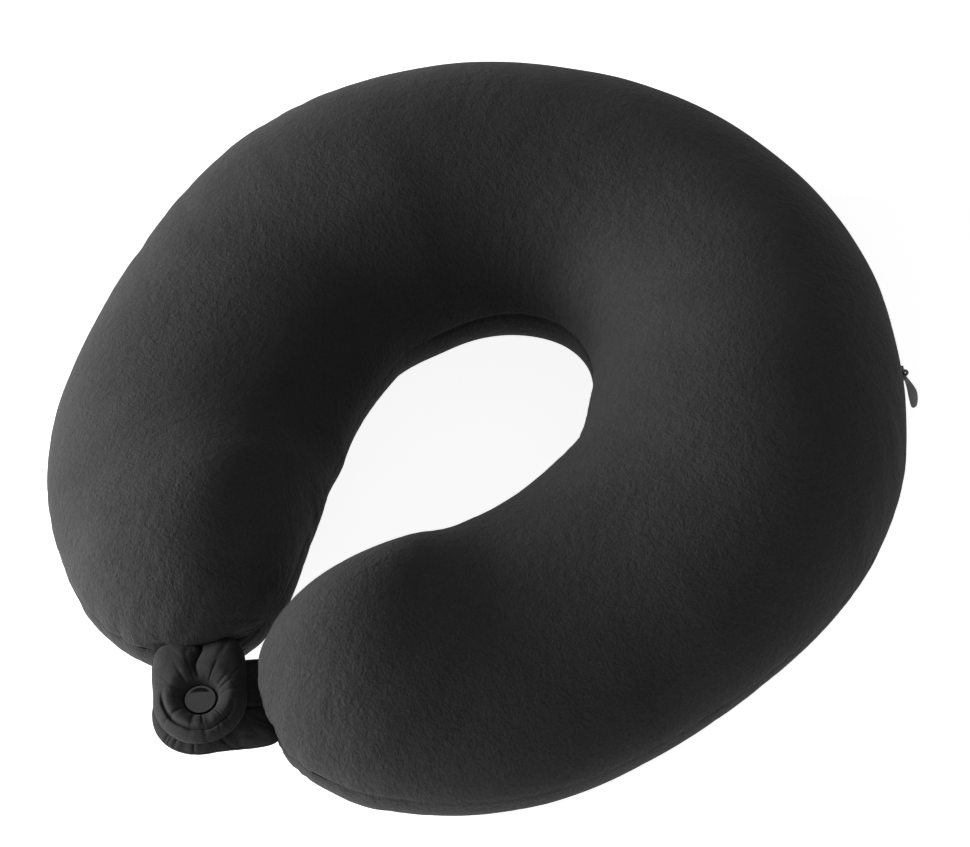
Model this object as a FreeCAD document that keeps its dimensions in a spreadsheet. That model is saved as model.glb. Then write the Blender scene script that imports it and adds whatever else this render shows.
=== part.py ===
"""U-shaped neck pillow with a zipped velour cover and two snap-fastened tabs.

Frame: +Z up, the pillow lies on the plane Z = 0, the nape is at +Y and the arms' ends face -Y.
The origin lies on the flat underside, below the middle of the nape. Units are millimetres.
"""

import FreeCAD, Part
import math
import os

import Sketcher

Vector = FreeCAD.Vector
Z_AXIS = Vector(0, 0, 1)

# Driving dimensions: alias, value, meaning.
SIZES = [
    ("nape_outer_radius", 149.0, "outer wall round the nape, seen from above"),
    ("nape_half_angle", 100.0, "half the angle of the nape arc, degrees"),
    ("side_outer_radius", 290.0, "outer wall along the arm's side"),
    ("side_arc_length", 76.5, "length of the side arc on the outer wall"),
    ("tip_outer_radius", 124.5, "outer wall round the arm's end"),
    ("tip_arc_length", 151.0, "length of the tip arc on the outer wall"),
    ("end_cap_length", 70.0, "stretch of the outer wall over which the arm's end closes"),
    ("nape_half_width", 55.0, "half the section's width at the nape"),
    ("side_half_width", 57.0, "half the section's width at the side"),
    ("front_half_width", 51.5, "half the section's width at the front of the arm"),
    ("tip_half_width", 43.5, "half the section's width at the arm's end"),
    ("side_station", 0.35, "where the side width holds, as a share of the outer wall"),
    ("front_station", 0.70, "where the front width holds, as a share of the outer wall"),
    ("nape_rise", 54.0, "crown above the seam at the nape"),
    ("side_rise", 55.5, "crown above the seam at the side"),
    ("front_rise", 30.5, "crown above the seam at the front of the arm"),
    ("tip_rise", 50.0, "crown above the seam that the arm's end closes from"),
    ("seam_height", 37.0, "height of the seam between the top and bottom panels"),
    ("base_sag", 2.0, "how far the rounded underside is pressed flat"),
    ("cover_thickness", 2.0, "velour with its backing"),
    ("liner_thickness", 0.8, "inner liner cloth"),
    ("layer_gap", 0.3, "clearance between cover, liner and foam"),
    ("zip_half_angle", 55.0, "half the angle of the zip round the nape, degrees"),
    ("zip_park_angle", 50.0, "slider's place from the middle when closed, degrees"),
    ("zip_depth", 4.0, "how deep the zip lies inside the outer wall"),
    ("tape_thickness", 0.7, "zip tape"),
    ("tape_width", 13.0, "zip tape's reach from the seam"),
    ("tape_edge", 1.0, "tape's bound edge from the seam"),
    ("teeth_edge", 0.5, "teeth row's inner side from the seam"),
    ("teeth_width", 2.1, "teeth row across the zip"),
    ("teeth_height", 1.4, "teeth row out of the tape"),
    ("slider_half_width", 3.7, "slider across the zip"),
    ("slider_length", 9.6, "slider along the zip"),
    ("slider_plate", 1.1, "slider plate thickness"),
    ("slider_flange", 0.7, "slider's side flange thickness"),
    ("slider_clearance", 0.3, "running clearance of slider, tape and teeth"),
    ("slider_neck", 0.6, "neck that joins the slider's plates"),
    ("bail_length", 6.4, "pull's bail along the slider"),
    ("bail_height", 3.0, "bail above the slider's plate"),
    ("bail_thickness", 1.0, "bail's metal"),
    ("pull_length", 20.5, "pull from its eye's middle to its end"),
    ("pull_half_width", 2.0, "half the pull's greatest width"),
    ("pull_thickness", 1.3, "pull's plate"),
    ("pull_eye_radius", 1.95, "pull's eye, outside"),
    ("pull_eye_hole", 0.9, "pull's eye, hole radius"),
    ("pull_tilt", 13.0, "pull's lean from upright at rest, degrees"),
    ("stop_length", 2.0, "length of a zip stop along the zip"),
    ("tab_angle", 44.0, "tab's turn from straight forward, degrees"),
    ("tab_root_gap", 0.5, "clearance between a tab's sewn hem and the cover"),
    ("tab_hem_length", 2.6, "flat hem before the wadding begins"),
    ("tab_corner_radius", 6.0, "rounding of the padded end's corners by the hem, seen from above"),
    ("tab_shoulder", 0.85, "rounding of the padded end's edges, as a share of its height"),
    ("tab_fabric", 0.9, "velour of a tab"),
    ("snap_reach", 19.5, "snap from the upper tab's root"),
    ("upper_tab_half_width", 15.0, "half the upper tab's width"),
    ("upper_tab_crown", 5.6, "upper tab above its middle layer"),
    ("lower_tab_half_width", 17.0, "half the lower tab's width"),
    ("lower_tab_belly", 5.6, "lower tab below its middle layer"),
    ("snap_cap_radius", 6.2, "snap's caps"),
    ("snap_cap_height", 1.7, "snap's caps, domed"),
    ("snap_seat_clearance", 0.9, "dimple round a snap part"),
    ("snap_post_radius", 1.4, "post of a snap's cap"),
    ("snap_post_clearance", 0.06, "post in the socket, the stud and the cloth"),
    ("snap_ring_radius", 4.9, "socket and stud flange"),
    ("socket_web", 0.6, "socket's floor that the post is set in"),
    ("socket_height", 2.6, "socket below the cloth"),
    ("socket_mouth_radius", 2.35, "socket's mouth"),
    ("rivet_radius", 1.9, "set head of the upper cap's post"),
    ("rivet_height", 0.35, "set head of the upper cap's post"),
    ("stud_flange", 0.8, "stud's flange"),
    ("stud_knob_radius", 1.9, "stud's knob"),
    ("stud_knob_height", 1.6, "stud's knob above its flange"),
    ("snap_gap", 0.3, "gap that keeps the closed snap free"),
]


class SizeSheet:
    """The document's spreadsheet of driving dimensions."""

    def __init__(self, document):
        self.sheet = document.addObject("Spreadsheet::Sheet", "sizes")
        for row, (alias, value, meaning) in enumerate(SIZES, start=1):
            self.sheet.set(f"A{row}", alias)
            self.sheet.set(f"B{row}", str(value))
            self.sheet.setAlias(f"B{row}", alias)
            self.sheet.set(f"C{row}", meaning)
        document.recompute()

    def __getattr__(self, alias):
        return float(self.sheet.get(alias))


# --- Soft forms lofted through half sections ------------------------------------------------------


def arch(middle, across, width, lift):
    """Half ellipse over a level base: width to both sides of middle, lift at its crown.

    A negative lift hangs below the base.
    """
    steps = 8
    turns = [math.pi * index / steps for index in range(steps + 1)]
    points = []
    for turn in turns:
        aside = across * (width * math.cos(turn))
        points.append(middle + aside + Z_AXIS * (lift * math.sin(turn)))
    points[-1] = middle - across * width
    curve = Part.BSplineCurve()
    curve.interpolate(
        Points=points,
        Parameters=turns,
        InitialTangent=Z_AXIS * lift,
        FinalTangent=-Z_AXIS * lift,
        Scale=False,
    )
    return curve.toShape()


def skin_panels(skin, sections_per_face=4):
    """Faces a few sections long, cut from a lofted surface: they keep later volumes exact."""
    across = skin.getUKnots()
    along = skin.getVKnots()
    steps = along[:-sections_per_face:sections_per_face] + along[-1:]
    panels = []
    for start, end in zip(steps, steps[1:]):
        panel = skin.copy()
        panel.segment(across[0], across[-1], start, end)
        panels.append(panel)
    return panels


def soft_solid(sections):
    """Solid in a skin lofted through sections; half sections are closed by the plane of their ends."""
    skins = [face.Surface for face in Part.makeLoft(sections, False, False).Faces]
    faces = []
    rim = []
    for panel in [panel for skin in skins for panel in skin_panels(skin)]:
        faces.append(panel.toShape())
        rim.append(panel.uIso(panel.getUKnots()[0]).toShape())
        rim.append(panel.uIso(panel.getUKnots()[-1]).toShape())
    for place in (0, -1):
        outline = [skin.vIso(skin.getVKnots()[place]).toShape() for skin in skins]
        if len(skins) == 1:
            ends = [vertex.Point for vertex in outline[0].Vertexes]
            outline.append(Part.makeLine(*ends))
            rim.append(outline[-1])
        faces.append(Part.Face(Part.Wire(Part.sortEdges(outline)[0])))
    if len(skins) == 1:
        faces.append(Part.Face(Part.Wire(Part.sortEdges(rim)[0])))
    shell = Part.makeShell(faces)
    shell.sewShape()
    solid = Part.makeSolid(shell)
    if solid.Volume < 0:
        solid.reverse()
    return solid


def eased(share):
    """Ease from 0 to 1 with level ends."""
    share = min(max(share, 0.0), 1.0)
    return share * share * (3 - 2 * share)


def single(shape):
    """The only solid of a shape."""
    solids = shape.Solids
    if len(solids) != 1:
        raise ValueError(f"expected one solid, found {len(solids)}")
    return solids[0]


def keep(document, label, shape):
    """Store a finished solid as a named object of the document."""
    item = document.addObject("Part::Feature", label)
    item.Label = label
    item.Shape = single(shape)
    item.Placement = FreeCAD.Placement()
    return item


class OuterWall:
    """The outer wall seen from above: three tangent arcs from the nape to an arm's end."""

    def __init__(self, size):
        nape_angle = math.radians(size.nape_half_angle)
        self.arcs = [
            (size.nape_outer_radius, size.nape_outer_radius * nape_angle),
            (size.side_outer_radius, size.side_arc_length),
            (size.tip_outer_radius, size.tip_arc_length),
        ]
        self.start = Vector(0, size.nape_half_width, 0)
        self.length = sum(length for _, length in self.arcs)

    def at(self, distance):
        """Point on the wall and the unit normal that points out of the pillow."""
        point = self.start
        heading = 0.0
        left = distance
        for radius, length in self.arcs:
            step = min(left, length)
            outward = Vector(math.sin(heading), math.cos(heading), 0)
            centre = point - outward * radius
            heading += step / radius
            outward = Vector(math.sin(heading), math.cos(heading), 0)
            point = centre + outward * radius
            left -= step
        return point, outward


class PillowForm:
    """Sections of the pillow, and solids lofted through them at any depth under its surface."""

    BODY_STATIONS = 8
    CAP_ANGLES = (18, 36, 52, 66, 78, 86)

    def __init__(self, size):
        self.size = size
        self.wall = OuterWall(size)
        self.cap_start = self.wall.length - size.end_cap_length
        length = self.wall.length
        self.keys = [0.0, size.side_station * length, size.front_station * length, length]
        self.widths = [
            size.nape_half_width,
            size.side_half_width,
            size.front_half_width,
            size.tip_half_width,
        ]
        self.rises = [size.nape_rise, size.side_rise, size.front_rise, size.tip_rise]

    def blend(self, values, distance):
        """Value at a distance along the wall, eased between the key sections."""
        for start, end, low, high in zip(self.keys, self.keys[1:], values, values[1:]):
            if distance <= end:
                return low + (high - low) * eased((distance - start) / (end - start))
        return values[-1]

    def section(self, distance, closing, inset, side, halves):
        """Section at a distance; closing is 0 along the arm and 90 degrees at its end."""
        size = self.size
        point, outward = self.wall.at(distance)
        width = self.blend(self.widths, distance)
        scale = math.cos(math.radians(closing))
        centre = point - outward * width
        middle = Vector(side * centre.x, centre.y, size.seam_height)
        across = Vector(side * outward.x, outward.y, 0)
        rise = self.blend(self.rises, distance) - inset
        # only the skin is pressed flat: the layers inside it stay round
        drop = size.seam_height - inset if inset else size.seam_height + size.base_sag
        lifts = {"upper": rise, "lower": -drop}
        wide = (width - inset) * scale
        return Part.Wire([arch(middle, across, wide, lifts[half] * scale) for half in halves])

    def arm_sections(self, inset, side, halves):
        """Sections from beside the nape to the arm's end."""
        radius = self.size.tip_outer_radius
        # an inset at the end is carried out along the outer wall's longer arc
        end_inset = inset * radius / (radius - self.size.tip_half_width)
        cap_length = self.size.end_cap_length - end_inset
        wires = []
        for index in range(1, self.BODY_STATIONS + 1):
            distance = self.cap_start * index / self.BODY_STATIONS
            wires.append(self.section(distance, 0, inset, side, halves))
        for closing in self.CAP_ANGLES:
            distance = self.cap_start + cap_length * math.sin(math.radians(closing))
            wires.append(self.section(distance, closing, inset, side, halves))
        return wires

    def solid(self, inset, *halves):
        """The U or its half above or below the seam, inset under its skin."""
        left = self.arm_sections(inset, -1, halves)
        right = self.arm_sections(inset, 1, halves)
        return soft_solid(left[::-1] + [self.section(0, 0, inset, 1, halves)] + right)

    def ground(self):
        """Block under the plane that the pillow lies on."""
        span = 4 * self.size.nape_outer_radius
        return Part.makeBox(span, span, span, Vector(-span / 2, -3 * span / 4, -span))

    def end_support(self, direction, side):
        """Point of an arm's end, at the seam, that lies furthest along a level direction."""
        steps = 2000
        edges = []
        for index in range(steps + 1):
            closing = math.radians(90.0 * index / steps)
            distance = self.cap_start + self.size.end_cap_length * math.sin(closing)
            point, outward = self.wall.at(distance)
            edge = point - outward * (self.blend(self.widths, distance) * (1 - math.cos(closing)))
            edges.append(Vector(side * edge.x, edge.y, self.size.seam_height))
        return max(edges, key=lambda edge: edge.dot(direction))


# --- Cover, liner and foam ------------------------------------------------------------------------


def ring_sector(profile, half_angle, centre):
    """Solid swept by a profile of (radius, height) points through both half angles about centre."""
    points = [Vector(0, radius, height) for radius, height in profile]
    face = Part.Face(Part.makePolygon(points + points[:1]))
    face.rotate(Vector(0, 0, 0), Z_AXIS, -half_angle)
    sector = face.revolve(Vector(0, 0, 0), Z_AXIS, 2 * half_angle)
    sector.translate(centre)
    return sector


class PillowLayers:
    """Nested layers that share the seam's plane and the zip's hollow."""

    def __init__(self, document, size, form):
        self.document = document
        self.size = size
        self.form = form
        self.nape_centre = Vector(0, size.nape_half_width - size.nape_outer_radius, 0)

    def tape_floor(self, reach_up):
        """Radius under a tape's far edge, where the cover's lining has curved in from the wall."""
        size = self.size
        lining = size.nape_outer_radius - size.cover_thickness - size.layer_gap
        half_width = size.nape_half_width - size.cover_thickness
        height = reach_up - size.cover_thickness
        room = half_width * (1 - math.sqrt(1 - (size.tape_width / height) ** 2))
        return lining - room - size.tape_thickness - size.layer_gap

    def zip_hollow(self, depth):
        """Room behind the cover for the tapes and the slider, grown by depth."""
        size = self.size
        wall = size.nape_outer_radius
        seam = size.seam_height
        back = size.slider_plate + 2 * size.slider_clearance + size.tape_thickness
        floor = wall - size.zip_depth - back - depth
        wide = size.tape_width + size.layer_gap + depth
        narrow = size.slider_half_width + 2 * size.layer_gap + depth
        profile = [
            (wall + size.zip_depth, seam - wide),
            (self.tape_floor(size.seam_height) - depth, seam - wide),
            (floor, seam - narrow),
            (floor, seam + narrow),
            (self.tape_floor(size.nape_rise) - depth, seam + wide),
            (wall + size.zip_depth, seam + wide),
        ]
        overrun = math.degrees((3 * size.stop_length + depth) / wall)
        return ring_sector(profile, size.zip_half_angle + overrun, self.nape_centre)

    def zip_slot(self):
        """Slit in the cover that the slider runs in."""
        size = self.size
        half = size.slider_half_width + 1.3 * size.slider_clearance
        inner = size.nape_outer_radius - size.cover_thickness - size.zip_depth
        outer = size.nape_outer_radius + size.zip_depth
        low = size.seam_height - half
        high = size.seam_height + half
        profile = [(inner, low), (outer, low), (outer, high), (inner, high)]
        overrun = math.degrees(size.stop_length / size.nape_outer_radius)
        return ring_sector(profile, size.zip_half_angle + overrun, self.nape_centre)

    def build(self):
        """All five pieces, from the skin inwards."""
        size = self.size
        liner_skin = size.cover_thickness + size.layer_gap
        liner_lining = liner_skin + size.liner_thickness
        foam_skin = liner_lining + size.layer_gap
        slot = self.zip_slot()
        hollow = self.zip_hollow(0)
        liner_hollow = self.zip_hollow(size.liner_thickness)
        pieces = []
        for half in ("upper", "lower"):
            skin = self.form.solid(0, half).cut(self.form.ground())
            cover = skin.cut(self.form.solid(size.cover_thickness, half)).cut(slot)
            pieces.append(keep(self.document, f"cover_{half}_panel", cover))
            lining = self.form.solid(liner_lining, half).cut(liner_hollow)
            liner = self.form.solid(liner_skin, half).cut(hollow).cut(lining)
            pieces.append(keep(self.document, f"liner_{half}", liner))
        foam_hollow = self.zip_hollow(size.liner_thickness + size.layer_gap)
        foam = self.form.solid(foam_skin, "upper", "lower").cut(foam_hollow)
        pieces.append(keep(self.document, "foam_core", foam))
        return pieces


# --- PartDesign bodies bound to the sheet ---------------------------------------------------------


class BodyMaker:
    """One PartDesign body whose sketches and features are bound to the sheet by expressions."""

    LEVEL = "0 * sizes.layer_gap"

    def __init__(self, document, label):
        self.document = document
        self.body = document.addObject("PartDesign::Body", label)
        self.body.Label = label

    def sketch(self, role, offset):
        """Empty sketch on one of the body's own planes, moved along its normal."""
        planes = self.body.Origin.OriginFeatures
        plane = next(item for item in planes if item.Role == role)
        sketch = self.body.newObject("Sketcher::SketchObject", f"{self.body.Name}_sketch")
        sketch.AttachmentSupport = [(plane, "")]
        sketch.MapMode = "FlatFace"
        sketch.setExpression("AttachmentOffset.Base.z", offset)
        return sketch

    def bind(self, sketch, kind, geometry, start, expression):
        """Add a dimension to a point or circle; the expression replaces its starting value."""
        index = sketch.addConstraint(Sketcher.Constraint(kind, *geometry, start))
        sketch.setExpression(f"Constraints[{index}]", expression)

    def polygon(self, sketch, corners):
        """Closed outline through corners given as pairs of expressions."""
        count = len(corners)
        circle = [2 * math.pi * index / count for index in range(count)]
        points = [Vector(10 * math.cos(turn), 10 * math.sin(turn), 0) for turn in circle]
        for index in range(count):
            sketch.addGeometry(Part.LineSegment(points[index], points[(index + 1) % count]), False)
        for index in range(count):
            sketch.addConstraint(Sketcher.Constraint("Coincident", index, 2, (index + 1) % count, 1))
        for index, (x, y) in enumerate(corners):
            place = (-1, 1, index, 1)
            self.bind(sketch, "DistanceX", place, points[index].x, x)
            self.bind(sketch, "DistanceY", place, points[index].y, y)

    def finish(self, kind, sketch, expressions, **properties):
        """PartDesign feature on a sketch, made the body's tip."""
        self.document.recompute()
        item = self.body.newObject(f"PartDesign::{kind}", f"{self.body.Name}_{kind.lower()}")
        item.Profile = sketch
        for name, value in properties.items():
            setattr(item, name, value)
        for name, expression in expressions.items():
            item.setExpression(name, expression)
        self.body.Tip = item
        self.document.recompute()
        return item

    def pad(self, role, corners, length, offset=LEVEL, middle=False):
        """Pad of a polygon, along the plane's normal or equally to both sides."""
        sketch = self.sketch(role, offset)
        self.polygon(sketch, corners)
        return self.finish("Pad", sketch, {"Length": length}, Midplane=middle)

    def turned(self, corners, angle):
        """Revolution of an outline about the vertical axis, equally to both sides."""
        sketch = self.sketch("XZ_Plane", self.LEVEL)
        self.polygon(sketch, corners)
        axis = (sketch, ["V_Axis"])
        return self.finish("Revolution", sketch, {"Angle": angle}, ReferenceAxis=axis, Midplane=True)


# --- The zip --------------------------------------------------------------------------------------


class Zip:
    """Coil zip round the nape: tapes, teeth rows, stops, slider and pull."""

    RADIUS = "(sizes.nape_outer_radius - sizes.zip_depth)"
    TAPE_BACK = f"({RADIUS} - sizes.tape_thickness / 2)"
    TAPE_FACE = f"({RADIUS} + sizes.tape_thickness / 2)"
    SEAM = "sizes.seam_height"

    def __init__(self, document, size):
        self.document = document
        self.size = size
        self.nape_centre = Vector(0, size.nape_half_width - size.nape_outer_radius, 0)

    def turn_to(self, angle):
        """Placement that carries the (radius, along, height) frame to an angle from the nape."""
        return FreeCAD.Placement(self.nape_centre, FreeCAD.Rotation(Z_AXIS, 90 - angle))

    def strip(self, label, corners, sweep, angle, sign):
        """Arc-shaped strip beside the seam; heights in corners are taken from the seam."""
        maker = BodyMaker(self.document, label)
        outline = [(x, f"{self.SEAM} + {sign} * ({height})") for x, height in corners]
        maker.turned(outline, sweep)
        maker.body.Placement = self.turn_to(angle)
        return maker.body

    def tape(self, label, sign):
        """Tape: its edge by the teeth lies deep, the rest runs out to the cover's lining."""
        lining = "(sizes.nape_outer_radius - sizes.cover_thickness - sizes.layer_gap)"
        reach = "sizes.nape_rise" if sign > 0 else "sizes.seam_height"
        share = f"(sizes.tape_width / ({reach} - sizes.cover_thickness))"
        half_width = "(sizes.nape_half_width - sizes.cover_thickness)"
        room = f"({half_width} * (1 - sqrt(1 - {share} * {share})))"
        step = "(sizes.slider_half_width + 2 * sizes.layer_gap)"
        bend = f"({step} + 2 * sizes.tape_thickness)"
        corners = [
            (self.TAPE_FACE, "sizes.tape_edge"),
            (self.TAPE_FACE, step),
            (f"{lining} - {room} / 4", bend),
            (f"{lining} - {room}", "sizes.tape_width"),
            (f"{lining} - {room} - sizes.tape_thickness", "sizes.tape_width"),
            (f"{lining} - {room} / 4 - sizes.tape_thickness", f"{bend} + sizes.tape_thickness"),
            (self.TAPE_BACK, f"{step} + sizes.tape_thickness"),
            (self.TAPE_BACK, "sizes.tape_edge"),
        ]
        overrun = "4 * sizes.stop_length / sizes.nape_outer_radius * 180 / pi"
        return self.strip(label, corners, f"2 * sizes.zip_half_angle + {overrun}", 0, sign)

    def row_outline(self):
        """Section of a teeth row or a stop, standing on the tape's outer face."""
        low = "sizes.teeth_edge"
        high = "sizes.teeth_edge + sizes.teeth_width"
        top = f"{self.TAPE_FACE} + sizes.teeth_height"
        return [(self.TAPE_FACE, low), (top, low), (top, high), (self.TAPE_FACE, high)]

    def teeth(self, label, sign):
        """Teeth row, which ends just short of the stops."""
        stop = "1.1 * sizes.stop_length / sizes.nape_outer_radius * 180 / pi"
        return self.strip(label, self.row_outline(), f"2 * sizes.zip_half_angle - {stop}", 0, sign)

    def stops(self, label, angle):
        """Stop blocks on both rows at one end of the zip, as one node."""
        length = "sizes.stop_length / sizes.nape_outer_radius * 180 / pi"
        group = self.document.addObject("Part::Compound", label)
        group.Label = label
        group.Links = [
            self.strip(f"{label}_above", self.row_outline(), length, angle, 1),
            self.strip(f"{label}_below", self.row_outline(), length, angle, -1),
        ]
        return group

    def slider(self):
        """Slider: two plates round the rows, a neck between the rows and the pull's bail."""
        maker = BodyMaker(self.document, "zip_slider")
        seam = self.SEAM
        half = "sizes.slider_half_width"
        wall = "sizes.slider_flange"
        lip = f"({self.TAPE_FACE} + sizes.slider_clearance)"
        front = f"({self.TAPE_FACE} + sizes.teeth_height + sizes.slider_clearance)"
        top = f"({front} + sizes.slider_plate)"
        back = f"({self.TAPE_BACK} - sizes.slider_clearance)"
        bottom = f"({back} - sizes.slider_plate)"
        channel = [
            (lip, f"{seam} - {half}"),
            (top, f"{seam} - {half}"),
            (top, f"{seam} + {half}"),
            (lip, f"{seam} + {half}"),
            (lip, f"{seam} + {half} - {wall}"),
            (front, f"{seam} + {half} - {wall}"),
            (front, f"{seam} - {half} + {wall}"),
            (lip, f"{seam} - {half} + {wall}"),
        ]
        maker.pad("XZ_Plane", channel, "sizes.slider_length", middle=True)
        lead = "sizes.slider_length / 2"
        tail = f"{lead} - 3 * sizes.slider_neck"
        neck = [(bottom, tail), (top, tail), (top, lead), (bottom, lead)]
        maker.pad("XY_Plane", neck, "sizes.slider_neck", f"{seam} - sizes.slider_neck / 2")
        low = f"{seam} - {half}"
        high = f"{seam} + {half}"
        plate = [(bottom, low), (back, low), (back, high), (bottom, high)]
        maker.pad("XZ_Plane", plate, "sizes.slider_length", middle=True)
        crown = f"({top} + sizes.bail_height)"
        foot = "sizes.bail_length / 2"
        leg = "sizes.bail_thickness"
        arch = [
            (top, f"-{foot}"),
            (crown, f"-{foot}"),
            (crown, foot),
            (top, foot),
            (top, f"{foot} - {leg}"),
            (f"{crown} - {leg}", f"{foot} - {leg}"),
            (f"{crown} - {leg}", f"{leg} - {foot}"),
            (top, f"{leg} - {foot}"),
        ]
        maker.pad("XY_Plane", arch, leg, f"{seam} - {leg} / 2")
        maker.body.Placement = self.turn_to(self.size.zip_park_angle)
        return maker.body

    def bail_bar(self):
        """Middle of the bail's bar in the (radius, along, height) frame."""
        size = self.size
        tape_face = size.nape_outer_radius - size.zip_depth + size.tape_thickness / 2
        top = tape_face + size.teeth_height + size.slider_clearance + size.slider_plate
        return Vector(top + size.bail_height - size.bail_thickness / 2, 0, size.seam_height)

    def primitive(self, kind, name, **expressions):
        """Part primitive whose properties are bound; a double underscore stands for a dot."""
        item = self.document.addObject(f"Part::{kind}", name)
        for path, expression in expressions.items():
            item.setExpression(path.replace("__", "."), expression)
        return item

    def pull(self):
        """Leaf-shaped pull that hangs by its eye from the bail, leaning out over the cover."""
        document = self.document
        size = self.size
        # two round discs overlap in a leaf as long and as wide as the pull
        half_length = "((sizes.pull_length + sizes.pull_eye_radius) / 2)"
        half_width = "sizes.pull_half_width"
        disc = f"(({half_length} * {half_length} + {half_width} * {half_width}) / (2 * {half_width}))"
        leaves = []
        for name, sign in (("pull_leaf_left", 1), ("pull_leaf_right", -1)):
            leaf = self.primitive(
                "Cylinder",
                name,
                Radius=disc,
                Height="sizes.pull_thickness",
                Placement__Base__x=f"{sign} * ({disc} - {half_width})",
                Placement__Base__y="-(sizes.pull_length - sizes.pull_eye_radius) / 2",
            )
            leaves.append(leaf)
        blade = document.addObject("Part::Common", "pull_blade")
        blade.Base, blade.Tool = leaves
        thickness = "sizes.pull_thickness"
        eye = self.primitive("Cylinder", "pull_eye", Radius="sizes.pull_eye_radius", Height=thickness)
        hole = self.primitive(
            "Cylinder",
            "pull_hole",
            Radius="sizes.pull_eye_hole",
            Height=f"3 * {thickness}",
            Placement__Base__z=f"-{thickness}",
        )
        plate = document.addObject("Part::Fuse", "pull_plate")
        plate.Base, plate.Tool = blade, eye
        pull = document.addObject("Part::Cut", "zip_pull")
        pull.Label = "zip_pull"
        pull.Base, pull.Tool = plate, hole
        # drawn with its length along -Y and its thickness along Z, then stood upright on the bar
        upright = FreeCAD.Rotation(Vector(1, 0, 0), 90)
        stand = FreeCAD.Placement(Vector(0, size.pull_thickness / 2, 0), upright)
        lean = FreeCAD.Placement(Vector(), FreeCAD.Rotation(Vector(0, 1, 0), -size.pull_tilt))
        bar = FreeCAD.Placement(self.bail_bar(), FreeCAD.Rotation())
        pull.Placement = self.turn_to(size.zip_park_angle) * bar * lean * stand
        return pull

    def build(self):
        """Every piece of the zip."""
        end = self.size.zip_half_angle
        return [
            self.tape("zip_tape_upper", 1),
            self.tape("zip_tape_lower", -1),
            self.teeth("zip_teeth_upper", 1),
            self.teeth("zip_teeth_lower", -1),
            self.stops("zip_top_stops", end),
            self.stops("zip_bottom_stop", -end),
            self.slider(),
            self.pull(),
        ]


# --- Tabs and snap --------------------------------------------------------------------------------


class Tab:
    """One padded tab: root at the cover, length along its own +X, its cloths meet at height 0."""

    def __init__(self, size, root, snap, half_width, above, below):
        self.size = size
        self.half_width = half_width
        self.above = above
        self.below = below
        along = snap - root
        self.reach = math.hypot(along.x, along.y)
        turn = math.degrees(math.atan2(along.y, along.x))
        self.placement = FreeCAD.Placement(root, FreeCAD.Rotation(Z_AXIS, turn))

    def cushion(self, inset, upper):
        """Upper or lower half of the padded end, inset under its surface, its shoulders rounded."""
        size = self.size
        height = self.above if upper else self.below
        start = size.tab_root_gap + size.tab_hem_length + inset
        wide = self.half_width - inset
        corner = Vector(start, -wide, 0)
        body = Part.makeBox(self.reach - start, 2 * wide, height - inset, corner)
        end = Part.makeCylinder(wide, height - inset, Vector(self.reach, 0, 0), Z_AXIS)
        outline = body.fuse(end).removeSplitter()
        corners = [edge for edge in outline.Edges if self.is_root_corner(edge, start)]
        rounded = outline.makeFillet(size.tab_corner_radius - inset, corners)
        top = [edge for edge in rounded.Edges if edge.BoundBox.ZMin > height - inset - 0.01]
        puffed = rounded.makeFillet(size.tab_shoulder * height - inset, top)
        if upper:
            return puffed
        return puffed.mirror(Vector(0, 0, 0), Z_AXIS)

    def is_root_corner(self, edge, start):
        """Whether an edge is one of the two upright ones at the tab's root."""
        box = edge.BoundBox
        return box.ZLength > 1 and box.XMax < start + 0.01 and box.YLength < 0.01

    def well(self, inset, upper):
        """Dimple that seats the snap; inside the tab it reaches the middle layer."""
        size = self.size
        radius = max(size.snap_cap_radius, size.snap_ring_radius) + size.snap_seat_clearance + inset
        up = Z_AXIS if upper else -Z_AXIS
        # inside the tab the well starts past the middle layer, so that it leaves no skin there
        floor = -size.tab_fabric if inset else size.tab_fabric
        height = self.above + self.below
        return Part.makeCylinder(radius, height, Vector(self.reach, 0, 0) + up * floor, up)

    def hem(self, upper):
        """Flat strip of one cloth from the cover's seam into the cushion."""
        size = self.size
        length = size.tab_hem_length + size.tab_corner_radius
        low = 0 if upper else -size.tab_fabric
        corner = Vector(size.tab_root_gap, -self.half_width, low)
        return Part.makeBox(length, 2 * self.half_width, size.tab_fabric, corner)

    def cloth(self, upper):
        """Face or back: the hem and the hollow half cushion with the snap's dimple."""
        size = self.size
        skin = self.cushion(0, upper).cut(self.well(0, upper)).fuse(self.hem(upper))
        hollow = self.cushion(size.tab_fabric, upper).cut(self.well(size.tab_fabric, upper))
        height = self.above + self.below
        radius = size.snap_post_radius + size.snap_post_clearance
        post = Part.makeCylinder(radius, 2 * height, Vector(self.reach, 0, -height), Z_AXIS)
        return skin.cut(hollow).cut(post)

    def wadding(self):
        """Both halves of the filling, a ring round the snap."""
        filled = self.size.tab_fabric + self.size.layer_gap / 2
        halves = [self.cushion(filled, upper).cut(self.well(filled, upper)) for upper in (True, False)]
        return halves[0].fuse(halves[1]).removeSplitter()

    def build(self, document, name):
        """Face, back and wadding."""
        pieces = [
            keep(document, f"{name}_face", self.cloth(True)),
            keep(document, f"{name}_back", self.cloth(False)),
            keep(document, f"{name}_wadding", self.wadding()),
        ]
        for piece in pieces:
            piece.Placement = self.placement
        return pieces


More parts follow.
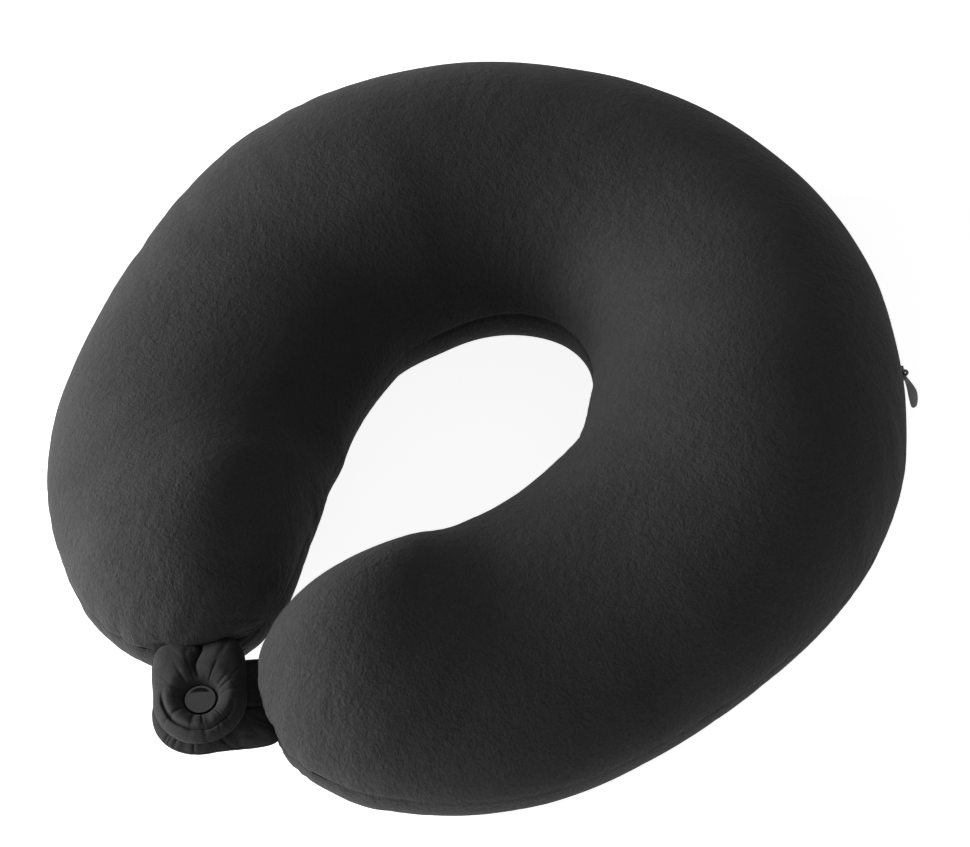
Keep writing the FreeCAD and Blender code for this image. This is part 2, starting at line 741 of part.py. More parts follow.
class Snap:
    """Press snap: cap and socket on the upper tab, stud and cap on the lower tab."""

    POST = "sizes.snap_post_radius"
    BORE = f"({POST} + sizes.snap_post_clearance)"
    CLOTH = "(2 * sizes.tab_fabric)"

    def __init__(self, document):
        self.document = document

    def turned(self, label, corners, place):
        """Round piece about the snap's axis, its height 0 on the upper face of the cloths."""
        maker = BodyMaker(self.document, label)
        maker.turned(corners, "360 * sizes.snap_post_radius / sizes.snap_post_radius")
        maker.body.Placement = place
        return maker.body

    def dome(self, sign, base):
        """Corners of a domed cap from its axis to its post; sign is -1 under the cloth."""
        rise = f"{sign} * sizes.snap_cap_height"
        rim = "sizes.snap_cap_radius"
        level = BodyMaker.LEVEL
        return [
            (level, f"{base} + {rise}"),
            (f"0.5 * {rim}", f"{base} + 0.9 * {rise}"),
            (f"0.86 * {rim}", f"{base} + 0.62 * {rise}"),
            (rim, f"{base} + 0.25 * {rise}"),
            (rim, base),
            (self.POST, base),
        ]

    def build(self, upper, lower):
        """All four pieces, each placed on its tab."""
        level = BodyMaker.LEVEL
        web = f"(-{self.CLOTH} - sizes.socket_web)"
        head = f"({web} - sizes.rivet_height)"
        rivet = [("sizes.rivet_radius", web), ("sizes.rivet_radius", head), (level, head)]
        cap = self.dome(1, level) + [(self.POST, web)] + rivet
        ring = "sizes.snap_ring_radius"
        mouth = "sizes.socket_mouth_radius"
        foot = f"(-{self.CLOTH} - sizes.socket_height)"
        socket = [
            (self.BORE, f"-{self.CLOTH}"),
            (ring, f"-{self.CLOTH}"),
            (ring, foot),
            (mouth, foot),
            (mouth, web),
            (self.BORE, web),
        ]
        knob_top = "(sizes.stud_flange + sizes.stud_knob_height)"
        stud = [
            (self.BORE, level),
            (ring, level),
            (ring, "sizes.stud_flange"),
            ("sizes.stud_knob_radius", "sizes.stud_flange"),
            ("sizes.stud_knob_radius", knob_top),
            (self.BORE, knob_top),
        ]
        tip = f"({knob_top} - sizes.snap_gap)"
        base_cap = self.dome(-1, f"-{self.CLOTH}") + [(self.POST, tip), (level, tip)]
        return [
            self.turned("snap_cap", cap, upper),
            self.turned("snap_socket", socket, upper),
            self.turned("snap_stud", stud, lower),
            self.turned("snap_base_cap", base_cap, lower),
        ]


def build_tabs(document, size, form):
    """Both tabs, which overlap at the snap, and the snap itself."""
    turn = math.radians(size.tab_angle)
    forward = Vector(math.sin(turn), -math.cos(turn), 0)
    upper_root = form.end_support(forward, -1)
    snap = upper_root + forward * size.snap_reach
    lower_root = form.end_support(Vector(-forward.x, forward.y, 0), 1)
    for _ in range(20):
        lower_root = form.end_support(snap - lower_root, 1)
    # the tabs' middle layers lie this far apart, with the closed snap between them
    stack = 2 * size.tab_fabric + size.socket_height + size.snap_gap + size.stud_flange
    inner = (stack - size.snap_gap) / 2
    raised = Z_AXIS * (stack / 2)
    upper_crown = size.upper_tab_crown
    lower_belly = size.lower_tab_belly
    wide = size.upper_tab_half_width
    wider = size.lower_tab_half_width
    upper = Tab(size, upper_root + raised, snap + raised, wide, upper_crown, inner)
    lower = Tab(size, lower_root - raised, snap - raised, wider, inner, lower_belly)
    pieces = upper.build(document, "upper_tab") + lower.build(document, "lower_tab")
    seats = []
    for tab in (upper, lower):
        seat = FreeCAD.Placement(Vector(tab.reach, 0, size.tab_fabric), FreeCAD.Rotation())
        seats.append(tab.placement * seat)
    return pieces + Snap(document).build(*seats)


def main():
    """Build the document, check it and write one STEP file for each piece."""
    os.makedirs("parts", exist_ok=True)
    document = FreeCAD.newDocument("neck_pillow")
    size = SizeSheet(document)
    form = PillowForm(size)
    pieces = PillowLayers(document, size, form).build()
    pieces += Zip(document, size).build()
    pieces += build_tabs(document, size, form)
    document.recompute()
    for item in document.Objects:
        if "Invalid" in item.State or "Error" in item.State:
            raise RuntimeError(f"{item.Label} failed: {item.State}")
    for piece in pieces:
        if piece.Shape.isNull() or not piece.Shape.isValid():
            raise RuntimeError(f"{piece.Label} has no valid shape")
    for piece in pieces:
        piece.Shape.exportStep(os.path.join("parts", f"{piece.Label}.step"))
        print(piece.Label, len(piece.Shape.Solids), round(piece.Shape.Volume, 1))


if __name__ == "__main__":
    main()
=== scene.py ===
"""Looks of a U-shaped travel neck pillow with a zipped velour cover and two snapped tabs.

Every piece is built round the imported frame, in metres: +Z up, the nape at +Y, the arms' ends at -Y.
"""

import logging
import math
from dataclasses import dataclass
from enum import Enum
from typing import Sequence

import bmesh
import bpy
from mathutils import Matrix, Vector, noise


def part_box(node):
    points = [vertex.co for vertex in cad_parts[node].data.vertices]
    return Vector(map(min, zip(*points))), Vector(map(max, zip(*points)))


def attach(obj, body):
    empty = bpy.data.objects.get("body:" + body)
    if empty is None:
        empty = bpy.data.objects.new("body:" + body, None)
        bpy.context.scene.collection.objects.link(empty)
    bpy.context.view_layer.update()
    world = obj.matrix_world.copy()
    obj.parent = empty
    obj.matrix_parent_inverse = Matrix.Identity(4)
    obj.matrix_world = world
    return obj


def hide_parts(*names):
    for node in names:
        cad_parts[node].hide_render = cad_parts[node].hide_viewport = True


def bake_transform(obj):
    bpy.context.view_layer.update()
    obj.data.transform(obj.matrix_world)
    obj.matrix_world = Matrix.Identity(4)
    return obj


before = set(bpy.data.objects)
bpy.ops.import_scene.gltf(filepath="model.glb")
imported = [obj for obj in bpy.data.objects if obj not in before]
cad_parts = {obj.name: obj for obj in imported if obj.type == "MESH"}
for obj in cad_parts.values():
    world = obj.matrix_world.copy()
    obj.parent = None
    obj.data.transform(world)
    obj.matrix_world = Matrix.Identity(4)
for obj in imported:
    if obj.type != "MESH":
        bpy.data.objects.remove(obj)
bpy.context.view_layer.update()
LOG = logging.getLogger("neck_pillow")

# where the frame's tabs are sewn to the arms' ends, and where its zip slider holds the pull
TAB_ROOT_ASIDE = 0.013562
TAB_ROOT_ALONG = -0.245916
UPPER_TAB_HEIGHT = 0.03975
LOWER_TAB_HEIGHT = 0.03425
BAIL_MIDDLE = Vector((0.1154046, 0.002836, 0.037))
PARK_ANGLE = math.radians(50.0)


def smooth(share: float) -> float:
    """Ease a share from 0 to 1 with level ends."""
    share = min(max(share, 0.0), 1.0)
    return share * share * (3.0 - 2.0 * share)


def bell(distance: float, reach: float) -> float:
    """Height of a soft bump, 1 at its middle and near 0 two reaches away."""
    return math.exp(-((distance / reach) ** 2))


def ridge(x: float, y: float = 0.0, z: float = 0.0) -> float:
    """Noise that is 1 along thin wandering lines and falls off quickly beside them."""
    return (1.0 - min(abs(noise.noise(Vector((x, y, z)))) * 2.0, 1.0)) ** 3


# --- Finishes -------------------------------------------------------------------------------------


class Finish(Enum):
    """Names of the finishes that the pieces are dressed in."""

    COVER = "cover_velour"
    TAB = "tab_velour"
    TAPE = "zip_tape_weave"
    COIL = "zip_coil_nylon"
    LACQUER = "snap_black_lacquer"
    METAL = "zip_black_metal"


class NodeTree:
    """Small helper that adds and joins shader nodes."""

    def __init__(self, tree: bpy.types.NodeTree) -> None:
        """Wrap a node tree that starts empty."""
        self.tree = tree
        tree.nodes.clear()

    def add(self, kind: str, **values: object) -> bpy.types.Node:
        """Add a node.

        Args:
            kind: the node's type.
            values: properties of the node, or values of its named inputs.

        Returns:
            The new node.
        """
        node = self.tree.nodes.new(kind)
        for name, value in values.items():
            if name in node.inputs:
                node.inputs[name].default_value = value
            else:
                setattr(node, name, value)
        return node

    def join(self, source: bpy.types.NodeSocket, target: bpy.types.NodeSocket) -> None:
        """Link two sockets."""
        self.tree.links.new(source, target)

    def math(self, operation: str, first: object, second: object) -> bpy.types.NodeSocket:
        """Add a Math node.

        Args:
            operation: the node's operation.
            first: its first operand, a socket or a number.
            second: its second operand, a socket or a number.

        Returns:
            The socket that holds the result.
        """
        node = self.add("ShaderNodeMath", operation=operation)
        for socket, value in zip(node.inputs, (first, second)):
            if isinstance(value, bpy.types.NodeSocket):
                self.join(value, socket)
            else:
                socket.default_value = value
        return node.outputs[0]


def new_group(name: str, inputs: Sequence[tuple[str, str, float]], outputs: Sequence[str]) -> tuple:
    """Start a shader node group.

    Args:
        name: the group's name.
        inputs: name, socket type and default of each input.
        outputs: names of the value outputs.

    Returns:
        The group's tree, a NodeTree on it, its input node and its output node.
    """
    tree = bpy.data.node_groups.new(name, "ShaderNodeTree")
    for label, kind, default in inputs:
        socket = tree.interface.new_socket(name=label, in_out="INPUT", socket_type=kind)
        if kind == "NodeSocketFloat":
            socket.default_value = default
    for label in outputs:
        tree.interface.new_socket(name=label, in_out="OUTPUT", socket_type="NodeSocketFloat")
    nodes = NodeTree(tree)
    return tree, nodes, nodes.add("NodeGroupInput"), nodes.add("NodeGroupOutput")


def pile_group() -> bpy.types.NodeTree:
    """Build the short brushed pile: speckled tips and soft patches where the nap turns.

    Returns:
        The group's tree, whose outputs are the pile's shade and its height.
    """
    clump_size, grain_height = 0.28, 0.6
    tip_weight, patch_weight, clump_weight = 0.45, 0.42, 0.25
    vector = ("Vector", "NodeSocketVector", 0.0)
    sizes = [("Grain Scale", "NodeSocketFloat", 1500.0), ("Patch Scale", "NodeSocketFloat", 22.0)]
    tree, nodes, start, end = new_group("brushed_pile", [vector, *sizes], ("Shade", "Height"))
    grain = nodes.add("ShaderNodeTexNoise", Detail=3.0, Roughness=0.75)
    patch = nodes.add("ShaderNodeTexNoise", Detail=4.0, Roughness=0.62, Distortion=0.6)
    clump = nodes.add("ShaderNodeTexNoise", Detail=3.0, Roughness=0.7)
    for node in (grain, patch, clump):
        nodes.join(start.outputs["Vector"], node.inputs["Vector"])
    nodes.join(start.outputs["Grain Scale"], grain.inputs["Scale"])
    nodes.join(start.outputs["Patch Scale"], patch.inputs["Scale"])
    clump_scale = nodes.math("MULTIPLY", start.outputs["Grain Scale"], clump_size)
    nodes.join(clump_scale, clump.inputs["Scale"])
    tips = nodes.add("ShaderNodeMapRange", **{"From Min": 0.36, "From Max": 0.66})
    nodes.join(grain.outputs[0], tips.inputs["Value"])
    soft = nodes.add("ShaderNodeMapRange", **{"From Min": 0.30, "From Max": 0.70})
    nodes.join(patch.outputs[0], soft.inputs["Value"])
    mixed = nodes.math("MULTIPLY", tips.outputs[0], tip_weight)
    for part, weight in ((soft, patch_weight), (clump, clump_weight)):
        mixed = nodes.math("ADD", mixed, nodes.math("MULTIPLY", part.outputs[0], weight))
    nodes.join(mixed, end.inputs["Shade"])
    fine = nodes.math("MULTIPLY", grain.outputs[0], grain_height)
    nodes.join(nodes.math("ADD", fine, clump.outputs[0]), end.inputs["Height"])
    return tree


def weave_group() -> bpy.types.NodeTree:
    """Build the zip tape's fine crossing threads.

    Returns:
        The group's tree, whose outputs are the threads' shade and their height.
    """
    vector = ("Vector", "NodeSocketVector", 0.0)
    size = ("Thread Scale", "NodeSocketFloat", 900.0)
    tree, nodes, start, end = new_group("woven_threads", [vector, size], ("Shade", "Height"))
    heights = []
    for direction in ("X", "Z"):
        wave = nodes.add("ShaderNodeTexWave", bands_direction=direction, Distortion=0.8, Detail=2.0)
        nodes.join(start.outputs["Vector"], wave.inputs["Vector"])
        nodes.join(start.outputs["Thread Scale"], wave.inputs["Scale"])
        heights.append(wave.outputs["Fac"])
    both = nodes.math("MULTIPLY", heights[0], heights[1])
    nodes.join(both, end.inputs["Shade"])
    nodes.join(both, end.inputs["Height"])
    return tree


def handled_group() -> bpy.types.NodeTree:
    """Build the faint scuffs and rubbed spots of a hard finish.

    Returns:
        The group's tree, whose outputs are the scuffs and their height.
    """
    vector = ("Vector", "NodeSocketVector", 0.0)
    size = ("Scuff Scale", "NodeSocketFloat", 300.0)
    tree, nodes, start, end = new_group("handled_surface", [vector, size], ("Scuff", "Height"))
    cloud = nodes.add("ShaderNodeTexNoise", Detail=5.0, Roughness=0.6)
    nodes.join(start.outputs["Vector"], cloud.inputs["Vector"])
    nodes.join(start.outputs["Scuff Scale"], cloud.inputs["Scale"])
    worn = nodes.add("ShaderNodeMapRange", **{"From Min": 0.42, "From Max": 0.72})
    nodes.join(cloud.outputs[0], worn.inputs["Value"])
    nodes.join(worn.outputs[0], end.inputs["Scuff"])
    nodes.join(cloud.outputs[0], end.inputs["Height"])
    return tree


@dataclass(frozen=True)
class Cloth:
    """A pile or woven cloth."""

    name: str
    dark: tuple[float, float, float]
    light: tuple[float, float, float]
    group: str
    scales: tuple[tuple[str, float], ...]
    roughness: float = 0.85
    sheen: float = 0.0
    sheen_roughness: float = 0.5
    bump: float = 0.3
    bump_distance: float = 0.0004
    stretch: tuple[float, float, float] = (1.0, 1.0, 1.0)

    def make(self) -> bpy.types.Material:
        """Build the cloth's material.

        Returns:
            A material that reads Object coordinates.
        """
        material = bpy.data.materials.new(self.name)
        material.use_nodes = True
        nodes = NodeTree(material.node_tree)
        place = nodes.add("ShaderNodeTexCoord")
        surface = nodes.add("ShaderNodeGroup", node_tree=bpy.data.node_groups[self.group])
        lie = nodes.add("ShaderNodeMapping")
        lie.inputs["Scale"].default_value = self.stretch
        nodes.join(place.outputs["Object"], lie.inputs["Vector"])
        nodes.join(lie.outputs[0], surface.inputs["Vector"])
        for label, value in self.scales:
            surface.inputs[label].default_value = value
        tint = nodes.add("ShaderNodeMix", data_type="RGBA")
        nodes.join(surface.outputs["Shade"], tint.inputs["Factor"])
        tint.inputs[6].default_value = (*self.dark, 1.0)
        tint.inputs[7].default_value = (*self.light, 1.0)
        bump = nodes.add("ShaderNodeBump", Strength=self.bump, Distance=self.bump_distance)
        nodes.join(surface.outputs["Height"], bump.inputs["Height"])
        shader = nodes.add("ShaderNodeBsdfPrincipled", Roughness=self.roughness)
        shader.inputs["Sheen Weight"].default_value = self.sheen
        shader.inputs["Sheen Roughness"].default_value = self.sheen_roughness
        shader.inputs["Specular IOR Level"].default_value = 0.2
        nodes.join(tint.outputs[2], shader.inputs["Base Color"])
        nodes.join(bump.outputs["Normal"], shader.inputs["Normal"])
        output = nodes.add("ShaderNodeOutputMaterial")
        nodes.join(shader.outputs[0], output.inputs["Surface"])
        return material


@dataclass(frozen=True)
class Hard:
    """A hard finish such as lacquered metal or nylon."""

    name: str
    colour: tuple[float, float, float]
    worn: tuple[float, float, float]
    metallic: float
    smooth_roughness: float
    worn_roughness: float
    coat: float = 0.0
    scuff_scale: float = 300.0

    def make(self) -> bpy.types.Material:
        """Build the finish's material.

        Returns:
            A material that reads Object coordinates.
        """
        material = bpy.data.materials.new(self.name)
        material.use_nodes = True
        nodes = NodeTree(material.node_tree)
        place = nodes.add("ShaderNodeTexCoord")
        surface = nodes.add("ShaderNodeGroup", node_tree=bpy.data.node_groups["handled_surface"])
        surface.inputs["Scuff Scale"].default_value = self.scuff_scale
        nodes.join(place.outputs["Object"], surface.inputs["Vector"])
        tint = nodes.add("ShaderNodeMix", data_type="RGBA")
        nodes.join(surface.outputs["Scuff"], tint.inputs["Factor"])
        tint.inputs[6].default_value = (*self.colour, 1.0)
        tint.inputs[7].default_value = (*self.worn, 1.0)
        dull = nodes.add("ShaderNodeMapRange")
        dull.inputs["To Min"].default_value = self.smooth_roughness
        dull.inputs["To Max"].default_value = self.worn_roughness
        nodes.join(surface.outputs["Scuff"], dull.inputs["Value"])
        bump = nodes.add("ShaderNodeBump", Strength=0.08, Distance=0.0002)
        nodes.join(surface.outputs["Height"], bump.inputs["Height"])
        shader = nodes.add("ShaderNodeBsdfPrincipled", Metallic=self.metallic)
        shader.inputs["Coat Weight"].default_value = self.coat
        nodes.join(tint.outputs[2], shader.inputs["Base Color"])
        nodes.join(dull.outputs[0], shader.inputs["Roughness"])
        nodes.join(bump.outputs["Normal"], shader.inputs["Normal"])
        output = nodes.add("ShaderNodeOutputMaterial")
        nodes.join(shader.outputs[0], output.inputs["Surface"])
        return material


COVER_PILE = (("Grain Scale", 1100.0), ("Patch Scale", 20.0))
TAB_PILE = (("Grain Scale", 1500.0), ("Patch Scale", 90.0))
TAPE_THREADS = (("Thread Scale", 420.0),)
FINISHES = (
    Cloth(
        Finish.COVER.value,
        dark=(0.0042, 0.0042, 0.0045),
        light=(0.028, 0.028, 0.029),
        group="brushed_pile",
        scales=COVER_PILE,
        sheen=0.04,
        sheen_roughness=0.42,
        bump=0.9,
        bump_distance=0.0011,
        stretch=(1.0, 1.0, 0.5),
    ),
    Cloth(
        Finish.TAB.value,
        dark=(0.006, 0.006, 0.0063),
        light=(0.026, 0.026, 0.027),
        group="brushed_pile",
        scales=TAB_PILE,
        sheen=0.07,
        sheen_roughness=0.42,
        bump=0.45,
    ),
    Cloth(
        Finish.TAPE.value,
        dark=(0.006, 0.006, 0.006),
        light=(0.022, 0.022, 0.023),
        group="woven_threads",
        scales=TAPE_THREADS,
        bump=0.5,
    ),
    Hard(
        Finish.COIL.value,
        colour=(0.010, 0.010, 0.011),
        worn=(0.018, 0.018, 0.019),
        metallic=0.0,
        smooth_roughness=0.34,
        worn_roughness=0.5,
    ),
    Hard(
        Finish.LACQUER.value,
        colour=(0.006, 0.006, 0.007),
        worn=(0.012, 0.012, 0.013),
        metallic=0.0,
        smooth_roughness=0.12,
        worn_roughness=0.24,
    ),
    Hard(
        Finish.METAL.value,
        colour=(0.004, 0.004, 0.004),
        worn=(0.010, 0.010, 0.010),
        metallic=0.0,
        smooth_roughness=0.42,
        worn_roughness=0.60,
    ),
)
# the frame's nodes that show as they are
DRESSED_NODES = (
    (Finish.METAL, ("snap_socket", "snap_stud", "zip_slider", "zip_top_stops", "zip_bottom_stop")),
    (Finish.TAPE, ("zip_tape_upper", "zip_tape_lower")),
    (Finish.COIL, ("zip_teeth_upper", "zip_teeth_lower")),
)


class Wardrobe:
    """Makes each finish once and hands it out."""

    def __init__(self) -> None:
        """Build the shared node groups and every material."""
        for build in (pile_group, weave_group, handled_group):
            build()
        self.materials = {finish.name: finish.make() for finish in FINISHES}

    def dress(self, piece: bpy.types.Object, finish: Finish) -> None:
        """Give a piece its only material."""
        piece.data.materials.clear()
        piece.data.materials.append(self.materials[finish.value])

    def dress_node(self, node: str, finish: Finish) -> None:
        """Give a carried-over node of the frame its material, without touching its mesh.

        Args:
            node: the node's name in the frame.
            finish: the finish to dress it in.
        """
        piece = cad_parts[node]
        for place in piece.material_slots:
            place.link = "OBJECT"
            place.material = self.materials[finish.value]


def finish_mesh(mesh: bmesh.types.BMesh, name: str, shade: bool = True) -> bpy.types.Object:
    """Turn a bmesh into an object of the scene.

    Args:
        mesh: the finished mesh, which is freed.
        name: the piece's name.
        shade: whether its faces are shaded smooth.

    Returns:
        The new object, at the origin.
    """
    bmesh.ops.recalc_face_normals(mesh, faces=mesh.faces)
    for face in mesh.faces:
        face.smooth = shade
    data = bpy.data.meshes.new(name)
    mesh.to_mesh(data)
    mesh.free()
    piece = bpy.data.objects.new(name, data)
    bpy.context.scene.collection.objects.link(piece)
    return piece


# --- The pillow's cover ---------------------------------------------------------------------------


@dataclass(frozen=True)
class Station:
    """One place along an arm: its section's middle, outward direction, sizes and side."""

    middle: Vector
    outward: Vector
    width: float
    rise: float
    drop: float
    scale: float
    distance: float
    side: int


@dataclass
class PillowCover:
    """The velour cover over its foam: one crowned, closed skin with its seam and zip valley."""

    nape_radius: float = 0.149
    nape_angle: float = math.radians(100.0)
    side_radius: float = 0.290
    side_length: float = 0.0765
    tip_radius: float = 0.1245
    tip_length: float = 0.151
    cap_length: float = 0.070
    widths: tuple[float, ...] = (0.055, 0.057, 0.0515, 0.0435)
    rises: tuple[float, ...] = (0.054, 0.0555, 0.0305, 0.050)
    rises_left: tuple[float, ...] = (0.054, 0.0555, 0.0375, 0.050)
    shares: tuple[float, ...] = (0.0, 0.35, 0.70, 1.0)
    seam_height: float = 0.037
    base_sag: float = 0.002
    pile: float = 0.0016
    parked: float = 0.130
    zip_half_angle: float = math.radians(55.8)
    zip_mouth: float = 0.0046
    zip_floor: float = 0.0062
    columns: int = 440
    rows: int = 168
    row_crowding: float = 0.37
    body_share: float = 0.79
    press_height: float = 0.004
    seam_dip: float = 0.0010
    seam_roll: float = 0.0006
    gather_depth: float = 0.0004
    gather_depth_tip: float = 0.0016
    gather_reach: float = 0.010
    gather_pitch: float = 105.0
    crown_crease: float = 0.00045
    crown_pitch: float = 95.0
    inner_crease: float = 0.0004
    inner_pitch: float = 42.0
    zip_lie_length: float = 0.185
    zip_lie_fade: float = 0.03
    zip_lie_height: float = 0.030
    slider_lie_length: float = 0.022
    slider_sink: float = 0.9
    weld: float = 0.00002
    floor_level: float = 0.0

    def __post_init__(self) -> None:
        """Work out the lengths that follow from the sizes."""
        self.arcs = (
            (self.nape_radius, self.nape_radius * self.nape_angle),
            (self.side_radius, self.side_length),
            (self.tip_radius, self.tip_length),
        )
        self.length = sum(length for _, length in self.arcs)
        self.cap_start = self.length - self.cap_length

    def wall(self, distance: float) -> tuple[Vector, Vector]:
        """Follow the outer wall.

        Args:
            distance: length along the wall from the nape.

        Returns:
            The point of the wall there, and the direction out of it.
        """
        point = Vector((0.0, self.widths[0], 0.0))
        heading = 0.0
        left = distance
        for radius, length in self.arcs:
            step = min(left, length)
            centre = point - Vector((math.sin(heading), math.cos(heading), 0.0)) * radius
            heading += step / radius
            outward = Vector((math.sin(heading), math.cos(heading), 0.0))
            point = centre + outward * radius
            left -= step
        return point, outward

    def blend(self, values: Sequence[float], distance: float) -> float:
        """Ease a size between the key sections.

        Args:
            values: the size at each key section.
            distance: length along the wall from the nape.

        Returns:
            The size there.
        """
        share = distance / self.length
        for place, (start, end) in enumerate(zip(self.shares, self.shares[1:])):
            if share <= end:
                low, high = values[place], values[place + 1]
                return low + (high - low) * smooth((share - start) / (end - start))
        return values[-1]

    def station(self, along: float) -> Station:
        """Work out the section at a place along the pillow.

        Args:
            along: from -1, the left arm's end, to 1, the right arm's end.

        Returns:
            The station there.
        """
        side = -1 if along < 0 else 1
        reach = abs(along)
        closing = 0.0
        distance = self.cap_start * min(reach / self.body_share, 1.0)
        if reach > self.body_share:
            closing = (reach - self.body_share) / (1.0 - self.body_share) * math.pi / 2
            distance = self.cap_start + self.cap_length * math.sin(closing)
        point, outward = self.wall(distance)
        width = self.blend(self.widths, distance)
        middle = point - outward * width
        return Station(
            Vector((side * middle.x, middle.y, self.seam_height)),
            Vector((side * outward.x, outward.y, 0.0)),
            width,
            self.blend(self.rises_left if side < 0 else self.rises, distance),
            self.seam_height + self.base_sag,
            max(math.cos(closing), 0.0),
            distance,
            side,
        )

    def point(self, station: Station, turn: float) -> Vector:
        """Find a point of the plain skin.

        Args:
            station: the section it lies on.
            turn: its turn round the section, 0 at the outer wall.

        Returns:
            The point, pressed flat below.
        """
        lift = station.rise if math.sin(turn) > 0 else station.drop
        aside = station.outward * (station.width * math.cos(turn) * station.scale)
        place = station.middle + aside
        place.z += lift * math.sin(turn) * station.scale
        low = self.press_height
        if place.z < low:
            # the underside is pressed flat by the pillow's own weight
            place.z = low * math.exp((place.z - low) / low)
        return place

    def seam_inset(self, above: float, station: Station, inner: bool, tip: float) -> float:
        """How far the panels roll into the seam.

        Args:
            above: height above the seam.
            station: the point's station.
            inner: whether the point faces the neck.
            tip: 1 at the arm's end, 0 away from it.

        Returns:
            The distance inwards.
        """
        roll = 0.12 + 0.25 * tip
        if inner:
            roll = 0.15 + 0.6 * smooth((0.24 - station.distance) / 0.06)
        return roll * (self.seam_dip * bell(above, 0.0011) + self.seam_roll * bell(above, 0.005))

    def gathers(self, place: Vector, above: float, along: float, inner: bool, tip: float) -> float:
        """How deep the seam's short puckers are, most at the arms' ends.

        Args:
            place: the point of the plain skin.
            above: height above the seam.
            along: length along the wall, negative on the left arm.
            inner: whether the point faces the neck.
            tip: 1 at the arm's end, 0 away from it.

        Returns:
            The distance inwards.
        """
        line = ridge(along * self.gather_pitch, 3.0 if inner else 9.0, above * 14.0)
        uneven = 0.45 + 0.55 * noise.noise(place * 30.0 + Vector((7, 0, 0)))
        strength = (self.gather_depth + self.gather_depth_tip * tip) * uneven
        fade = math.exp(-abs(above) / (self.gather_reach + self.gather_reach * tip))
        return max(strength, 0.0) * line * fade

    def relief(self, place: Vector, station: Station, turn: float) -> float:
        """How far the cloth stands out of the plain skin, with its puckers, creases and seam.

        Args:
            place: the point of the plain skin.
            station: the point's station.
            turn: the point's turn round the section.

        Returns:
            The distance along the skin's normal, negative inwards.
        """
        above = place.z - self.seam_height
        along = station.distance * station.side
        inner = math.cos(turn) < 0
        tip = smooth((station.distance - self.cap_start + 0.03) / 0.06)
        out = self.pile + 0.0010 * noise.noise(place * 15.0) + 0.0003 * noise.noise(place * 46.0)
        out -= self.seam_inset(above, station, inner, tip)
        out -= self.gathers(place, above, along, inner, tip)
        # long faint creases, slanted across the crown, in a few patches
        slant = along * 0.8 + turn * 0.03
        patch = smooth(noise.noise(place * 11.0 + Vector((0, 4, 0))) * 2.2)
        out -= self.crown_crease * patch * ridge(slant * self.crown_pitch, place.z * 22.0, 1.7)
        # creases that the bend squeezes into the inner wall
        if inner:
            squeeze = bell(math.cos(turn) + 0.85, 0.5) * smooth(1.3 - station.distance / 0.33)
            line = ridge(along * self.inner_pitch, above * 9.0, 5.2)
            out -= self.inner_crease * squeeze * patch * line
        # behind the nape the cloth lies down round the zip, most of all where its slider parks
        if not inner:
            before = smooth((self.zip_lie_length - station.distance) / self.zip_lie_fade)
            by_zip = before * bell(above, self.zip_lie_height)
            by_slider = bell(station.distance - self.parked, self.slider_lie_length)
            out -= self.pile * by_zip * (1.0 + self.slider_sink * by_slider)
        return out * min(station.scale * 4.0, 1.0)

    def valley(self, place: Vector, station: Station, turn: float) -> float:
        """Sink the zip's valley into the outer wall behind the nape.

        Args:
            place: the point of the plain skin.
            station: the point's station.
            turn: the point's turn round the section.

        Returns:
            The valley's depth there, 0 away from the zip.
        """
        if math.cos(turn) <= 0 or station.distance > self.nape_radius * self.nape_angle:
            return 0.0
        angle = station.distance / self.nape_radius
        ends = smooth((self.zip_half_angle - angle) * self.nape_radius / 0.004 + 0.5)
        above = abs(place.z - self.seam_height)
        return self.zip_floor * ends * smooth((self.zip_mouth + 0.0007 - above) / 0.0014)

    def build(self, roots: Sequence["TabPad"]) -> bpy.types.Object:
        """Build the cover.

        Args:
            roots: the tabs, whose sewn roots pull the arms' ends in a little.

        Returns:
            The cover's object.
        """
        mesh = bmesh.new()
        bmesh.ops.create_grid(mesh, x_segments=self.columns, y_segments=self.rows, size=1.0)
        stations: dict[float, Station] = {}
        placed = []
        for vertex in mesh.verts:
            along = round(vertex.co.x, 6)
            if along not in stations:
                stations[along] = self.station(along)
            share = vertex.co.y / 2 + 0.5
            turn = 2 * math.pi * share - self.row_crowding * math.sin(4 * math.pi * share)
            placed.append((vertex, stations[along], turn))
        for vertex, station, turn in placed:
            vertex.co = self.point(station, turn)
        mesh.normal_update()
        normals = [vertex.normal.copy() for vertex in mesh.verts]
        inside_out = self.points_inwards(placed)
        moved = []
        for (vertex, station, turn), normal in zip(placed, normals):
            if inside_out:
                normal = -normal
            out = self.relief(vertex.co, station, turn)
            for root in roots:
                out -= root.pull_in(vertex.co)
            depth = self.valley(vertex.co, station, turn)
            moved.append(vertex.co + normal * out - station.outward * depth)
        for (vertex, _, _), place in zip(placed, moved):
            vertex.co = place
            vertex.co.z = max(vertex.co.z, self.floor_level)
        bmesh.ops.remove_doubles(mesh, verts=mesh.verts, dist=self.weld)
        piece = finish_mesh(mesh, "pillow_cover")
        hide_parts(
            "cover_upper_panel", "cover_lower_panel", "liner_upper", "liner_lower", "foam_core",
        )
        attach(piece, "pillow")
        return piece

    def points_inwards(self, placed: Sequence[tuple]) -> bool:
        """Whether the grid's normals point into the pillow.

        Args:
            placed: every vertex with its station and its turn.

        Returns:
            True if most of a sample of them do.
        """
        total = 0.0
        sample_step = 97
        for vertex, station, _ in placed[::sample_step]:
            total += vertex.normal.dot(vertex.co - station.middle)
        return total < 0


# --- Tabs -----------------------------------------------------------------------------------------


